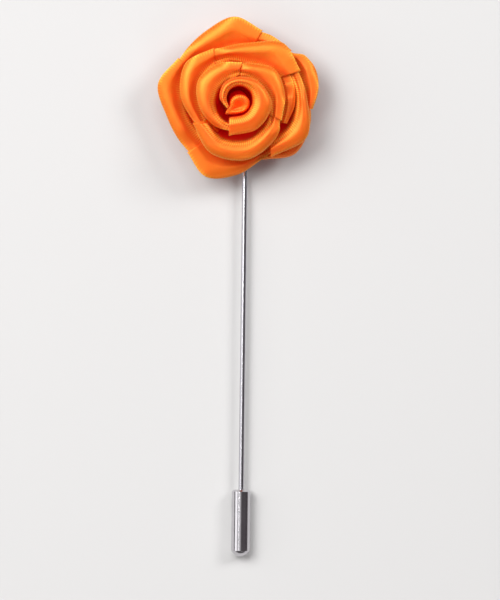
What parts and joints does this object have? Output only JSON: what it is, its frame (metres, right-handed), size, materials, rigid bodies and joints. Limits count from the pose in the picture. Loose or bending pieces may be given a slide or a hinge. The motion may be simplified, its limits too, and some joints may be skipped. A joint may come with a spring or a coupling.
{
  "type": "flower lapel pin",
  "caption": "Stick pin for a lapel: a ribbon rose on a straight steel needle with a push-on end cap over its point.",
  "frame": {"origin": "under the middle of the whole length, on the surface that the pin lies on", "axes": "+Z out of the rose's face, +Y along the needle from the cap to the rose, +X to the right seen from the face"},
  "size_m": [0.0288, 0.097, 0.014],
  "materials": {
    "satin": "glossy woven satin ribbon",
    "satin_back": "wound ribbon edge, matt with glue",
    "needle_steel": "bright drawn steel",
    "cap_metal": "polished plate"
  },
  "bodies": {
    "pin": {"petal_01": "satin", "petal_02": "satin", "petal_03": "satin", "petal_04": "satin", "petal_05": "satin", "petal_06": "satin", "petal_07": "satin", "petal_08": "satin", "petal_09": "satin", "petal_10": "satin", "petal_11": "satin", "petal_12": "satin", "petal_13": "satin", "petal_14": "satin", "rose_bud": "satin", "rolled_foot": "satin_back", "stick_pin": "needle_steel"},
    "cap": {"end_cap": "cap_metal"}
  },
  "joints": [
    {"name": "cap_pull", "type": "slide", "parent": "pin", "child": "cap", "axis": [0, -1, 0], "range_m": [0, 0.02]}
  ]
}
